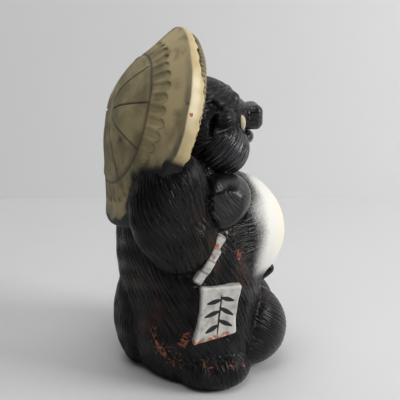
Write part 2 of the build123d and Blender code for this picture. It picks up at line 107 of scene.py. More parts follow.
def through(places, values, wanted):
    """Smooth curve through values at places, read at the wanted places."""
    slopes = np.gradient(values, places)
    low = np.clip(np.searchsorted(places, wanted) - 1, 0, len(places) - 2)
    step = places[low + 1] - places[low]
    t = np.clip((wanted - places[low]) / step, 0, 1)
    start = values[low] * (1 + 2 * t) + slopes[low] * step * t
    end = values[low + 1] * (3 - 2 * t) - slopes[low + 1] * step * (1 - t)
    return start * (1 - t) ** 2 + end * t**2


def turned(*turns):
    """Rotation matrix of turns given as (axis, degrees), the last one made first."""
    matrix = Matrix.Identity(3)
    for axis, degrees in turns:
        matrix = matrix @ Matrix.Rotation(math.radians(degrees), 3, axis)
    return np.array(matrix)


def ellipsoid(points, centre, radii, turn):
    """Distance to an ellipsoid, true near its surface."""
    local = (points - np.array(centre)) @ turn
    scaled = np.linalg.norm(local / radii, axis=-1)
    slope = np.linalg.norm(local / np.square(radii), axis=-1)
    return scaled * (scaled - 1) / np.maximum(slope, 1e-6)


def block(points, centre, halves, turn, edge):
    """Distance to a block with rounded edges."""
    out = np.abs((points - np.array(centre)) @ turn) - np.array(halves) + edge
    return np.linalg.norm(np.maximum(out, 0), axis=-1) + np.minimum(out.max(-1), 0) - edge


def joined(a, b, softness):
    """Two fields in one, with a fillet of clay where they meet."""
    near = np.maximum(softness - np.abs(a - b), 0) / softness
    return np.minimum(a, b) - near * near * softness / 4


# Meshes


def grid(low, high, step):
    """Points of a grid over a box."""
    axes = [np.arange(a, b + step, step) for a, b in zip(low, high)]
    return np.stack(np.meshgrid(*axes, indexing="ij"), axis=-1)


def skin(values, points):
    """Closed mesh of quads where a field on a grid is zero."""
    inside = values < 0
    corners = np.array(list(np.ndindex(2, 2, 2)))
    cells_along = np.array(values.shape) - 1
    held = sum(
        inside[a : a + cells_along[0], b : b + cells_along[1], c : c + cells_along[2]].astype(np.int8)
        for a, b, c in corners
    )
    mixed = (held > 0) & (held < 8)
    cells = np.argwhere(mixed)
    numbers = np.full(mixed.shape, -1)
    numbers[mixed] = np.arange(len(cells))
    at_corner = [values[tuple((cells + corner).T)] for corner in corners]
    total = np.zeros((len(cells), 3))
    hits = np.zeros(len(cells))
    for first, corner in enumerate(corners):
        for axis in np.flatnonzero(corner == 0):
            second = first + (4, 2, 1)[axis]
            a, b = at_corner[first], at_corner[second]
            crossed = (a < 0) != (b < 0)
            share = np.where(crossed, a / np.where(crossed, a - b, 1), 0)
            total += np.where(crossed[:, None], corner, 0)
            total[:, axis] += share
            hits += crossed
    step = points[1, 1, 1] - points[0, 0, 0]
    places = points[0, 0, 0] + (cells + total / hits[:, None]) * step
    quads = []
    for axis in range(3):
        u, v = (axis + 1) % 3, (axis + 2) % 3
        before = np.take(inside, range(cells_along[axis]), axis=axis)
        after = np.take(inside, range(1, cells_along[axis] + 1), axis=axis)
        edges = np.argwhere(before != after)
        ring = []
        for back_u, back_v in ((0, 0), (1, 0), (1, 1), (0, 1)):
            cell = edges.copy()
            cell[:, u] -= back_u
            cell[:, v] -= back_v
            ring.append(numbers[tuple(cell.T)])
        quad = np.stack(ring, axis=1)
        inward = ~before[tuple(edges.T)]
        quad[inward] = quad[inward, ::-1]
        quads.append(quad)
    return places, np.concatenate(quads)


def normals_of(places, quads):
    """Unit normal at each vertex of a mesh of quads."""
    across = np.cross(places[quads[:, 2]] - places[quads[:, 0]], places[quads[:, 3]] - places[quads[:, 1]])
    normals = np.zeros_like(places)
    for corner in range(4):
        np.add.at(normals, quads[:, corner], across)
    return normals / np.maximum(np.linalg.norm(normals, axis=1), 1e-9)[:, None]


def piece(name, places, faces, material, nodes, marks):
    """Object of a mesh in millimetres, with a number per vertex for each of its marks."""
    mesh = bpy.data.meshes.new(name)
    mesh.from_pydata((places * MM).tolist(), [], faces.tolist())
    mesh.polygons.foreach_set("use_smooth", np.ones(len(faces), bool))
    for mark, values in marks.items():
        layer = mesh.attributes.new(mark, "FLOAT", "POINT")
        layer.data.foreach_set("value", np.asarray(values, np.float32))
    mesh.materials.append(material)
    made = bpy.data.objects.new(name, mesh)
    bpy.context.scene.collection.objects.link(made)
    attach(made, "root")
    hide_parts(*nodes)


# Materials


class Graph:
    """Short calls that build a material's nodes."""

    def __init__(self, name):
        self.material = bpy.data.materials.new(name)
        self.material.use_nodes = True
        self.tree = self.material.node_tree
        self.shader = self.tree.nodes["Principled BSDF"]

    def put(self, socket, value):
        if isinstance(value, bpy.types.NodeSocket):
            self.tree.links.new(value, socket)
        elif socket.type == "RGBA":
            socket.default_value = (*value, 1)
        else:
            socket.default_value = value

    def node(self, kind, **values):
        made = self.tree.nodes.new("ShaderNode" + kind)
        for name, value in values.items():
            self.put(made.inputs[name.replace("_", " ")], value)
        return made

    def mark(self, name):
        made = self.node("Attribute")
        made.attribute_name = name
        return made.outputs["Fac"]

    def place(self):
        return self.node("TexCoord").outputs["Object"]

    def sums(self, operation, *values):
        made = self.node("Math")
        made.operation = operation
        for socket, value in zip(made.inputs, values):
            self.put(socket, value)
        return made.outputs[0]

    def vector(self, x, y):
        return self.node("CombineXYZ", X=x, Y=y).outputs[0]

    def noise(self, vector, scale, detail):
        return self.node("TexNoise", Vector=vector, Scale=scale, Detail=detail).outputs[0]

    def ramp(self, value, low, high):
        made = self.node("MapRange", Value=value, From_Min=low, From_Max=high)
        made.interpolation_type = "SMOOTHSTEP"
        return made.outputs[0]

    def mix(self, share, first, second):
        made = self.node("Mix")
        made.data_type = "RGBA"
        self.put(made.inputs[0], share)
        self.put(made.inputs[6], first)
        self.put(made.inputs[7], second)
        return made.outputs[2]

    def finish(self, colour, roughness, height=None, depth=0.0005):
        self.put(self.shader.inputs["Base Color"], colour)
        self.put(self.shader.inputs["Roughness"], roughness)
        if height is not None:
            bump = self.node("Bump", Height=height, Distance=depth, Strength=1.0)
            self.put(self.shader.inputs["Normal"], bump.outputs[0])
        return self.material


BLACK = (0.0026, 0.0026, 0.0031)
# Paler grey for the ridges between incised lines: partly dry-brushed dust, partly painted highlight; the
# lines stay black as painted shade.
RIDGE_DUST_AND_HIGHLIGHT = (0.0080, 0.0088, 0.0115)
# Painted highlight on the jowl's ridges, standing in for its sheen.
PAINTED_SHEEN_GREY = (0.085, 0.090, 0.106)
BROWN = (0.030, 0.0135, 0.0085)
PAINT_SPECULAR = 0.24
GLOSS_SPECULAR = 0.5
TERRACOTTA = (0.50, 0.165, 0.085)
RUST = (0.15, 0.048, 0.030)
WHITE = (0.82, 0.805, 0.755)
CREAM = (0.84, 0.79, 0.62)
LINE_SIZE = (2.4, 42.0)  # mm across and along an incised line
HAIR_SIZE = (1.2, 26.0)  # and a hair
LINE_EDGES = (0.01, 0.06)
HAIR_EDGES = (0.38, 0.72)
GRAIN_SCALE = 700.0
BLOTCH_SCALE = 45.0
BLOTCH_EDGES = (0.42, 0.62)
FLECK_SCALE = 400.0
FLECK_EDGES = (0.97, 1.09)
RUST_EDGES = (0.4, 0.6)
SPRAY_OF_HAIRS = 0.12  # how much the hair breaks up the sprayed edge
SPRAY_OF_GRAIN = 0.35
SPRAY_FADE = (0.15, 0.85)
SPRAY_START = (0.02, 0.25)
HAIR_RELIEF = 0.8
GRAIN_RELIEF = 0.12
COMB_DEPTH = 0.0014  # m
SATIN_ROUGHNESS = 0.15
BLOTCH_ROUGHNESS = 0.18
GLOSS_SMOOTHNESS = 0.07
CHALK_ROUGHNESS = 0.35  # of white paint and bare clay, more than that of the black


def painted_clay(name, specular):
    """Satin black over combed clay, sprayed into white, with the clay showing where it is worn."""
    g = Graph(name)
    across, along, combed = g.mark("across"), g.mark("along"), g.mark("combed")
    lines, hairs = (
        g.noise(g.vector(g.sums("DIVIDE", across, wide), g.sums("DIVIDE", along, long)), 1.0, detail)
        for (wide, long), detail in ((LINE_SIZE, 1.0), (HAIR_SIZE, 2.0))
    )
    incised = g.ramp(g.sums("ABSOLUTE", g.sums("SUBTRACT", lines, 0.5)), *LINE_EDGES)
    grain = g.noise(g.place(), GRAIN_SCALE, 3.0)
    blotch = g.noise(g.place(), BLOTCH_SCALE, 3.0)

    # The ridges between incised lines and hairs are painted paler than the lines: part dust, part painted
    # highlight, with painted shade left in the lines.
    ridge = g.sums("MULTIPLY", g.sums("MULTIPLY", incised, combed), g.ramp(hairs, *HAIR_EDGES))
    brown = g.sums("MULTIPLY", g.mark("brown"), g.ramp(blotch, *BLOTCH_EDGES))
    ridge_dust_and_highlight = g.mix(g.mark("painted_sheen"), RIDGE_DUST_AND_HIGHLIGHT, PAINTED_SHEEN_GREY)
    colour = g.mix(brown, g.mix(ridge, BLACK, ridge_dust_and_highlight), BROWN)
    spray = g.mark("white")
    for noise, amount in ((hairs, SPRAY_OF_HAIRS), (grain, SPRAY_OF_GRAIN)):
        spray = g.sums("ADD", spray, g.sums("MULTIPLY", g.sums("SUBTRACT", noise, 0.5), amount))
    white = g.sums("MULTIPLY", g.ramp(spray, *SPRAY_FADE), g.ramp(g.mark("white"), *SPRAY_START))
    colour = g.mix(white, colour, g.mix(g.mark("cream"), WHITE, CREAM))
    worn = g.ramp(g.sums("ADD", g.noise(g.place(), FLECK_SCALE, 3.0), g.mark("wear")), *FLECK_EDGES)
    colour = g.mix(worn, colour, g.mix(g.ramp(grain, *RUST_EDGES), RUST, TERRACOTTA))

    relief = g.sums("ADD", incised, g.sums("MULTIPLY", hairs, HAIR_RELIEF))
    height = g.sums("ADD", g.sums("MULTIPLY", relief, combed), g.sums("MULTIPLY", grain, GRAIN_RELIEF))
    satin = g.sums("ADD", SATIN_ROUGHNESS, g.sums("MULTIPLY", blotch, BLOTCH_ROUGHNESS))
    satin = g.sums("SUBTRACT", satin, g.sums("MULTIPLY", g.mark("gloss"), GLOSS_SMOOTHNESS))
    rough = g.sums("ADD", satin, g.sums("MULTIPLY", g.sums("MAXIMUM", white, worn), CHALK_ROUGHNESS))
    g.put(g.shader.inputs["Specular IOR Level"], specular)
    return g.finish(colour, rough, height, COMB_DEPTH)


OLIVE = (0.175, 0.148, 0.070)
STRAW = (0.36, 0.292, 0.148)
BAND_STRAW = (0.51, 0.405, 0.210)
RIM_STRAW = (0.62, 0.49, 0.255)
# Cream painted as a highlight along part of the rim.
RIM_HIGHLIGHT = (0.92, 0.79, 0.54)
# Dark wash in the tool marks, and painted shade at the scallops' ends.
HAT_WASH_AND_SHADE = (0.035, 0.028, 0.018)
# Painted shade line along the crest, just inside the rim.
CREST_PAINTED_SHADE = (0.075, 0.075, 0.065)
WASH_CLOUD_SCALE = 55.0
WASH_GRAIN_SCALE = 900.0
WASH_EDGES = (0.35, 0.68)
BAND_EDGES = (0.2, 0.6)
CREST_EDGES = (0.25, 0.75)
RIM_EDGES = (0.25, 0.65)
RIM_HIGHLIGHT_EDGES = (0.2, 0.5)
WASH_SPRAY_GRAIN = 0.4
WASH_SPRAY_FADE = (0.2, 0.8)
WASH_FLECK_EDGES = (0.98, 1.06)
WASH_CLOUD_RELIEF = 0.6
WASH_GRAIN_RELIEF = 0.25
WASH_ROUGHNESS = 0.62


def hat_wash():
    """Olive wash that lies dark in the tool marks, with painted shade at the scallops' ends, painted
    highlights on the rim and on a strip inside the crest, a painted shade line along the crest, and black
    sprayed at the shoulders.
    """
    g = Graph("hat_wash")
    cloud = g.noise(g.place(), WASH_CLOUD_SCALE, 4.0)
    grain = g.noise(g.place(), WASH_GRAIN_SCALE, 2.0)
    colour = g.mix(g.ramp(cloud, *WASH_EDGES), OLIVE, STRAW)
    # painted highlight on a strip inside the crest
    colour = g.mix(g.sums("MULTIPLY", g.mark("highlight_band"), g.ramp(cloud, *BAND_EDGES)), colour, BAND_STRAW)
    # a painted shade line along the crest
    colour = g.mix(g.sums("MULTIPLY", g.mark("grey"), g.ramp(cloud, *CREST_EDGES)), colour, CREST_PAINTED_SHADE)
    colour = g.mix(g.mark("rim"), colour, g.mix(g.ramp(cloud, *RIM_EDGES), BAND_STRAW, RIM_STRAW))
    # painted highlight on the rim
    colour = g.mix(g.sums("MULTIPLY", g.mark("rim_highlight"), g.ramp(cloud, *RIM_HIGHLIGHT_EDGES)), colour, RIM_HIGHLIGHT)
    # dark wash in the tool marks, with painted shade at the scallops' ends
    colour = g.mix(g.mark("dent"), colour, HAT_WASH_AND_SHADE)
    drift = g.sums("MULTIPLY", g.sums("SUBTRACT", grain, 0.5), WASH_SPRAY_GRAIN)
    spray = g.ramp(g.sums("ADD", g.mark("spray"), drift), *WASH_SPRAY_FADE)
    colour = g.mix(spray, colour, BLACK)
    flecks = g.noise(g.place(), FLECK_SCALE, 3.0)
    worn = g.ramp(g.sums("ADD", flecks, g.mark("wear")), *WASH_FLECK_EDGES)
    colour = g.mix(worn, colour, TERRACOTTA)
    relief = g.sums("MULTIPLY", cloud, WASH_CLOUD_RELIEF)
    height = g.sums("ADD", relief, g.sums("MULTIPLY", grain, WASH_GRAIN_RELIEF))
    return g.finish(colour, WASH_ROUGHNESS, height)


CHALK_WHITE = (0.72, 0.70, 0.64)
CHALK_GREY = (0.42, 0.41, 0.39)
EDGE_GREY = (0.10, 0.10, 0.105)
INK = (0.010, 0.010, 0.011)
CHALK_CLOUD_SCALE = 160.0
CHALK_GRAIN_SCALE = 1200.0
CHALK_EDGES = (0.4, 0.75)
INK_EDGES = (0.35, 0.65)
CHALK_FLECK_SCALE = 300.0
CHALK_FLECK_EDGES = (0.95, 1.1)
CHALK_CLOUD_RELIEF = 0.5
CHALK_GRAIN_RELIEF = 0.2
WHITE_ROUGHNESS = 0.55
IVORY = ((0.36, 0.29, 0.17), (0.66, 0.58, 0.40))
FIRED_CLAY = ((0.34, 0.15, 0.08), (0.52, 0.27, 0.15))
GLAZE = (0.16, 0.065, 0.030)
THIN_GLAZE = (0.42, 0.30, 0.17)
GLAZE_ENDS = (0.030, 0.048)  # m above the flask's foot, where the glaze starts to thin and where it has
GLAZE_RUNS = 0.02  # m, of the drops along that edge
AMBER = (0.48, 0.27, 0.06)
AMBER_STARTS = (0.40, 0.44)  # shares of the eye's radius
AMBER_ENDS = (0.52, 0.56)


def white_clay():
    """White paint, grey between the claws and on the plaque's sides (there as painted shade), with ink
    strokes and worn places.
    """
    g = Graph("white_clay")
    cloud = g.noise(g.place(), CHALK_CLOUD_SCALE, 4.0)
    grain = g.noise(g.place(), CHALK_GRAIN_SCALE, 2.0)
    colour = g.mix(g.ramp(cloud, *CHALK_EDGES), CHALK_WHITE, CHALK_GREY)
    colour = g.mix(g.mark("dent"), colour, EDGE_GREY)
    colour = g.mix(g.ramp(g.mark("ink"), *INK_EDGES), colour, INK)
    flecks = g.noise(g.place(), CHALK_FLECK_SCALE, 3.0)
    worn = g.ramp(g.sums("ADD", flecks, g.mark("wear")), *CHALK_FLECK_EDGES)
    colour = g.mix(worn, colour, TERRACOTTA)
    relief = g.sums("MULTIPLY", cloud, CHALK_CLOUD_RELIEF)
    height = g.sums("ADD", relief, g.sums("MULTIPLY", grain, CHALK_GRAIN_RELIEF))
    return g.finish(colour, WHITE_ROUGHNESS, height)


def ivory_clay():
    """Yellowed white of the teeth."""
    g = Graph("ivory_clay")
    cloud = g.noise(g.place(), 260.0, 3.0)
    return g.finish(g.mix(cloud, *IVORY), 0.4, cloud, 0.0002)


def bare_clay():
    """Unpainted fired clay."""
    g = Graph("bare_clay")
    cloud = g.noise(g.place(), 90.0, 4.0)
    grain = g.noise(g.place(), 1500.0, 2.0)
    return g.finish(g.mix(cloud, *FIRED_CLAY), 0.85, grain)


def flask_glaze():
    """Brown glaze, thinner and lighter towards the neck."""
    g = Graph("flask_glaze")
    low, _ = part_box("flask")
    height = g.node("SeparateXYZ", Vector=g.place()).outputs["Z"]
    runs = g.sums("MULTIPLY", g.sums("SUBTRACT", g.noise(g.place(), 120.0, 4.0), 0.5), GLAZE_RUNS)
    share = g.ramp(g.sums("ADD", height, runs), *(low.z + end for end in GLAZE_ENDS))
    colour = g.mix(share, GLAZE, THIN_GLAZE)
    return g.finish(colour, 0.18, g.noise(g.place(), 200.0, 2.0), 0.0003)


def eye_paint(node):
    """Black eye with a thin amber ring round its pupil, which looks to the front."""
    g = Graph("paint_of_" + node)
    low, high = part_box(node)
    middle = (low + high) / 2
    radius = (high.x - low.x) / 2
    place = g.node("SeparateXYZ", Vector=g.place())
    x = g.sums("SUBTRACT", place.outputs["X"], middle.x)
    z = g.sums("SUBTRACT", place.outputs["Z"], middle.z)
    away = g.sums("SQRT", g.sums("ADD", g.sums("MULTIPLY", x, x), g.sums("MULTIPLY", z, z)))
    colour = g.mix(g.ramp(away, *(share * radius for share in AMBER_STARTS)), BLACK, AMBER)
    colour = g.mix(g.ramp(away, *(share * radius for share in AMBER_ENDS)), colour, BLACK)
    return g.finish(colour, 0.45, g.noise(g.place(), 300.0, 2.0), 0.0001)


# The clay body, as forms luted together. Forms of a pair are given on the right side

TRUNK_HEIGHTS = np.array([0.0, 16.0, 66.0, 122.0, 164.0, 196.0])
TRUNK_HALF_WIDTHS = np.array([65.0, 72.0, 77.0, 71.0, 56.0, 34.0])
TRUNK_FRONTS = np.array([40.0, 48.0, 55.0, 47.0, 30.0, 14.0])
TRUNK_BACKS = np.array([50.0, 57.0, 64.0, 67.0, 58.0, 38.0])
TRUNK_SEAM_Y = 8.0
HEAD_SEAM_Y = 7.0
WALL = 7.0
BASE_PLATE_RECESS = 2.0
GROOVE_WIDTH = 2.6
BASE_SOFTNESS = 5.0
LUMP_SOFTNESS = 12.0
HOLLOW_SOFTNESS = 2.5
BODY_RIPPLE = 0.25
UPRIGHT = turned()


class Form:
    """Lumps of clay, with the fillet and the tool line round them and the lie of their hair.

    A lump is an ellipsoid, or a block if it is given with the radius of its edges.
    The lie is a direction on the surface: towards the back of the figure, and up.
    """

    def __init__(self, lumps, fillet, line, lie, combed=1.0):
        self.lumps = lumps
        self.fillet = fillet
        self.line = line
        self.lie = np.array(lie) / np.hypot(*lie)
        self.combed = combed

    def distance(self, points):
        shapes = [block if len(lump) == 4 else ellipsoid for lump in self.lumps]
        first, *others = [shape(points, *lump) for shape, lump in zip(shapes, self.lumps)]
        for other in others:
            first = joined(first, other, LUMP_SOFTNESS)
        return first

    def comb(self, points):
        """Places across and along the hair."""
        centre, radii, *_ = self.lumps[0]
        local = (points - np.array(centre)) / radii * np.mean(radii)
        round_it = np.arctan2(local[:, 1], -local[:, 0]) * np.mean(radii)
        up = np.arctan2(local[:, 2], np.hypot(local[:, 0], local[:, 1])) * np.mean(radii)
        return round_it * self.lie[1] - up * self.lie[0], round_it * self.lie[0] + up * self.lie[1]


ARM_LUMP = ((-54.6, 30.0, 151.0), (27.0, 36.0, 47.0), turned(("Z", 12), ("X", -12)))
PAW_LUMP = ((-62.8, 17.0, 125.5), (18.0, 22.0, 27.0), turned(("X", 37)))
BREAST_LUMP = ((-47.5, -6.5, 152.5), (24.5, 30.0, 23.0), turned(("X", -42)))
BREAST_TOP = ((-46.0, -7.5, 160.0), (24.0, 25.0, 16.0), UPRIGHT)
SHOULDER_LUMP = ((-60.0, 28.0, 178.0), (24.0, 22.0, 26.0), UPRIGHT)
NOSE_LUMP = ((0, -46.6, 214.5), (12.6, 10.0, 10.6), UPRIGHT, 6.5)
FORMS = {
    "tail": Form([((0, 48.9, 44), (31.0, 22.0, 47.0), UPRIGHT)], 5, 1.4, (0.12, -1)),
    "bag": Form([((-21, -39.5, 34), (36.0, 36.0, 36.0), UPRIGHT)], 4, 1.0, (-0.75, -0.6), 0.5),
    "foot": Form([((-52.6, -4, 15), (32.0, 32.0, 23.0), UPRIGHT)], 5, 1.0, (-0.25, -1), 0.8),
    "arm": Form([ARM_LUMP, PAW_LUMP, SHOULDER_LUMP], 4, 1.4, (-0.56, -0.83)),
    "belly": Form([((0, -25.9, 116.5), (56.0, 51.0, 49.5), UPRIGHT)], 8, 0.0, (-1, 0.1), 0.9),
    "breast": Form([BREAST_LUMP, BREAST_TOP], 4, 2.6, (-0.5, -0.8), 0.08),
    "head": Form([((0, 4, 213), (44.0, 47.0, 38.5), UPRIGHT)], 5, 0.8, (-1, 0.12)),
    "jowl": Form([((-24.5, -15.8, 195), (24.0, 24.0, 24.0), UPRIGHT)], 3, 1.2, (-0.72, 0.6)),
    "cheek_pad": Form([((-33, -12.1, 223), (11.0, 15.0, 11.0), UPRIGHT)], 2, 1.2, (-1, 0.25)),
    "muzzle": Form([((0, -27.1, 218), (23.0, 20.0, 14.0), UPRIGHT)], 4, 0.6, (-1, 0), 0.6),
    "nose": Form([NOSE_LUMP], 2, 0.8, (-1, 0), 0.15),
    "lower_lip": Form([((0, -41, 197.5), (13.0, 9.0, 7.0), UPRIGHT)], 2, 0.8, (-1, 0), 0.2),
}
SOCKET = ((-38.5, -8.5, 234.0), (8.0, 6.5, 4.5), turned(("X", 25)))
CREASE = ((-43.0, -5.5, 219.0), (6.0, 1.8, 10.0), turned(("X", 12)))
BELLY_REACH = 8.0  # how far the belly's piece goes out over the trunk
TRUNK_LIE = np.array((-0.48, -0.88))
TRUNK_WRAP = 66.0  # radius on which the trunk's hair is laid out


def folded(points):
    """The points with the left side laid on the right one."""
    right = points.copy()
    right[..., 0] = -np.abs(points[..., 0])
    return right


def trunk(points):
    """Distance to the trunk, true near its surface."""
    x, y, z = np.moveaxis(points, -1, 0)
    half = through(TRUNK_HEIGHTS, TRUNK_HALF_WIDTHS, z)
    front = through(TRUNK_HEIGHTS, TRUNK_FRONTS, z)
    back = through(TRUNK_HEIGHTS, TRUNK_BACKS, z)
    reach = np.where(y < 0, front, back)
    scaled = np.hypot(x / half, y / reach)
    slope = np.hypot(x / half**2, y / reach**2)
    side = scaled * (scaled - 1) / np.maximum(slope, 1e-6)
    return np.maximum(side, z - TRUNK_HEIGHTS[-1])


def clay(points):
    """Field of the whole body, and the distance to each of its forms."""
    right = folded(points)
    shapes = {"trunk": trunk(right)}
    body = shapes["trunk"]
    for name, form in FORMS.items():
        shape = form.distance(right)
        line = form.line * np.exp(-np.square((shape - body) / GROOVE_WIDTH))
        body = joined(body, shape, form.fillet) + line
        shapes[name] = shape
    for hollow in (SOCKET, CREASE):
        body = -joined(-body, ellipsoid(right, *hollow), HOLLOW_SOFTNESS)
    body = body + BODY_RIPPLE * ripple(points, 26.0, 3)
    ground = np.where(shapes["trunk"] < -WALL, BASE_PLATE_RECESS, 0) - points[..., 2]
    shapes["belly"] = shapes["belly"] - BELLY_REACH
    return -joined(-body, -ground, BASE_SOFTNESS), shapes


def comb_of(form, points):
    """Places across and along the hair of a form, and how deep it is combed."""
    right = folded(points)
    if form != "trunk":
        return *FORMS[form].comb(right), FORMS[form].combed
    round_it = np.arctan2(right[:, 1], -right[:, 0]) * TRUNK_WRAP
    up = right[:, 2]
    return round_it * TRUNK_LIE[1] - up * TRUNK_LIE[0], round_it * TRUNK_LIE[0] + up * TRUNK_LIE[1], 1.0


# Paint on the body

SPRAY_EDGE = (-31.0, -61.0)  # Y where the white begins and where it is full
SPRAY_HEIGHTS = (76.0, 95.0)  # and the same from the money bag upwards
CREAM_EDGE = (-56.0, -76.0)
GLOSS = {"breast": 0.85, "nose": 0.6, "lower_lip": 1.0, "jowl": 0.7}  # of the paint on some forms
SPRAY_DRIFT = 3.0  # how far the sprayed edge wanders
WEAR_STRENGTH = 0.55
SCATTER_STRENGTH = 0.42
BROWN_EVERYWHERE = 0.2
WEAR = [
    ((-72, 17, 26), 3.5), ((-77, 9, 25), 3), ((-80, 4, 24), 4), ((-80, -13, 24), 4), ((-74, -25, 21), 4),
    ((-71, 22, 51), 8), ((-69, 25, 42), 6), ((-51, 45, 49), 7), ((-53, 41, 36), 9), ((-57, 35, 30), 6),
    ((-61, 28, 22), 5), ((-59, 27, 14), 4), ((-63, -20, 118), 4), ((-63, -24, 115), 4),
    ((-63, -21, 111), 3.5), ((-66, 3, 164), 3), ((40, 52, 40), 8), ((72, 8, 30), 6),
    ((60, 30, 60), 7), ((-20, 68, 20), 7), ((15, 70, 60), 6),
]
SCATTER = [((-52, 42, 40), 20), ((-62, 26, 24), 14), ((-78, 2, 24), 15), ((-76, -18, 22), 10)]
BROWN_PLACES = [
    ((-34, 58, 97), 16), ((-45, 52, 74), 17), ((-49, 47, 53), 17), ((-53, 41, 36), 14),
    ((-67, -14, 110), 22), ((-70, 2, 140), 20), ((-15, -70, 40), 30), ((15, -70, 40), 30),
]


def spots(points, places):
    """Soft spots of given places and sizes."""
    total = np.zeros(len(points))
    for centre, size in places:
        total += np.exp(-np.sum(np.square(points - np.array(centre)), axis=1) / size**2)
    return np.minimum(total, 1)


def paint_marks(points, form):
    """Numbers that the painted clay reads at each vertex."""
    across, along, combed = comb_of(form, points)
    y = points[:, 1] + SPRAY_DRIFT * ripple(points, 40.0, 5)
    front = form in ("trunk", "belly")
    white = fade(*SPRAY_EDGE, y) * fade(*SPRAY_HEIGHTS, points[:, 2]) * front
    return {
        "across": across,
        "along": along,
        "combed": combed * (1 - fade(0.05, 0.6, white)),
        "gloss": np.full(len(points), GLOSS.get(form, 0.0)),
        # the jowl's ridges are given a painted highlight
        "painted_sheen": np.full(len(points), float(form == "jowl")),
        "white": white,
        "cream": fade(*CREAM_EDGE, points[:, 1]),
        "wear": np.maximum(WEAR_STRENGTH * spots(points, WEAR), SCATTER_STRENGTH * spots(points, SCATTER)),
        "brown": np.minimum(BROWN_EVERYWHERE + spots(points, BROWN_PLACES), 1) * (form != "breast"),
    }


TUFT_PITCH = 4.4
TUFT_DEPTH = 0.55
TUFT_WANDER = 0.5  # shares of a pitch
TUFT_DEPTHS = (0.6, 0.4)  # share that is everywhere, and share that comes and goes
SEAM_LAP = 4.0  # how far a piece runs on under its neighbour
SEAM_SINK = 0.3  # how far it is sunk there
SEAM_RUN = 3.0  # over which it sinks


def lapped(field, gap):
    """A piece's field, ended where it has run on under its neighbour. The gap is 0 at their seam."""
    return np.maximum(field + SEAM_SINK * fade(0, SEAM_RUN, gap), gap - SEAM_LAP)


def clay_piece(node, form, material, edge=None):
    """The part of the body that one CAD node stands for: where its form is the nearest one.

    The edge is an axis, a sign and a value: the piece lies below that value, or above it for a sign of -1.
    """
    low, high = (np.array(corner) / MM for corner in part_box(node))
    points = grid(low - PAD, high + PAD, STEP)
    body, shapes = clay(points)
    others = np.min([shape for name, shape in shapes.items() if name != form], axis=0)
    field = lapped(body, shapes[form] - others)
    if edge:
        axis, sign, value = edge
        field = lapped(field, sign * (points[..., axis] - value))
    field[[0, -1]] = field[:, [0, -1]] = field[:, :, [0, -1]] = 1.0
    places, quads = skin(field, points)
    marks = paint_marks(places, form)
    waves = np.sin(2 * math.pi * (marks["across"] / TUFT_PITCH + TUFT_WANDER * ripple(places, 38.0, 7)))
    depth = TUFT_DEPTH * marks["combed"] * (TUFT_DEPTHS[0] + TUFT_DEPTHS[1] * ripple(places, 22.0, 9))
    places = places + normals_of(places, quads) * (waves * depth)[:, None]
    places[:, 2] = np.maximum(places[:, 2], 0)
    piece(node + "_clay", places, quads, material, [node], marks)


def add_body():
    """Every painted piece of the body. The forms with a gloss have a shinier coat."""
    paint = painted_clay("painted_clay", PAINT_SPECULAR)
    glossy = painted_clay("glossy_clay", GLOSS_SPECULAR)
    clay_piece("body_front_shell", "trunk", paint, (1, 1, TRUNK_SEAM_Y))
    clay_piece("body_back_shell", "trunk", paint, (1, -1, TRUNK_SEAM_Y))
    clay_piece("head_front_shell", "head", paint, (1, 1, HEAD_SEAM_Y))
    clay_piece("head_back_shell", "head", paint, (1, -1, HEAD_SEAM_Y))
    clay_piece("belly_dome", "belly", paint)
    clay_piece("money_bag", "bag", paint)
    for form in ("tail", "muzzle", "nose", "lower_lip"):
        clay_piece(form, form, glossy if form in GLOSS else paint)
    for form in ("foot", "arm", "breast", "jowl", "cheek_pad"):
        coat = glossy if form in GLOSS else paint
        clay_piece("right_" + form, form, coat, (0, 1, 0))
        clay_piece("left_" + form, form, coat, (0, -1, 0))
    add_stub(paint)


STUB_START = np.array((0, -44.0, 58.0))
STUB_END = np.array((0, -65.0, 75.5))
STUB_RADIUS = 5.2
STUB_TAPER = (0.85, 0.25)  # share of the radius at the start, and what the end has more
STUB_RIPPLE = 0.2


def add_stub(paint):
    """Short bar between belly and bag, a little thicker at its end."""
    points = grid(np.minimum(STUB_START, STUB_END) - PAD, np.maximum(STUB_START, STUB_END) + PAD, FINE_STEP)
    run = STUB_END - STUB_START
    share = np.clip((points - STUB_START) @ run / (run @ run), 0, 1)
    nearest = STUB_START + share[..., None] * run
    away = np.linalg.norm(points - nearest, axis=-1)
    field = away - STUB_RADIUS * (STUB_TAPER[0] + STUB_TAPER[1] * share)
    places, quads = skin(field + STUB_RIPPLE * ripple(points, 9.0, 11), points)
    marks = paint_marks(places, "bag")
    marks["combed"] = marks["combed"] * 0
    piece("front_stub_clay", places, quads, paint, ["front_stub"], marks)


# Hat

HAT_CENTRE = np.array((0, 34.0, 209.0))
HAT_TILT = math.radians(22.0)
HAT_AXIS = np.array((0, math.cos(HAT_TILT), math.sin(HAT_TILT)))
HAT_UP = np.array((0, -math.sin(HAT_TILT), math.cos(HAT_TILT)))
HAT_SIDE = np.array((-1.0, 0, 0))
HAT_RADIUS = 87.0
HAT_RIM = 9.0
HAT_PROFILE_RADII = np.array([0.0, 22.0, 45.0, 66.0, 87.0])
HAT_PROFILE_HEIGHTS = np.array([40.5, 36.8, 27.6, 17.6, 9.0])
HAT_HOLE = 0.4  # radius of the pinhole where its rows begin and end
HAT_ROWS = 101
HAT_RIPPLE = 0.4
RING_RADIUS = 55.0
RING_WIDTH = 1.0
RING_DEPTH = 1.5
RING_LIP_OFFSET = 2.8  # of the clay pushed up inside the ring
RING_LIP_WIDTH = 1.5
RING_LIP_HEIGHT = 0.6
SPOKES = 9
SPOKE_START = math.radians(22.0)
SPOKE_WIDTH = 0.8
SPOKE_DEPTH = 1.3
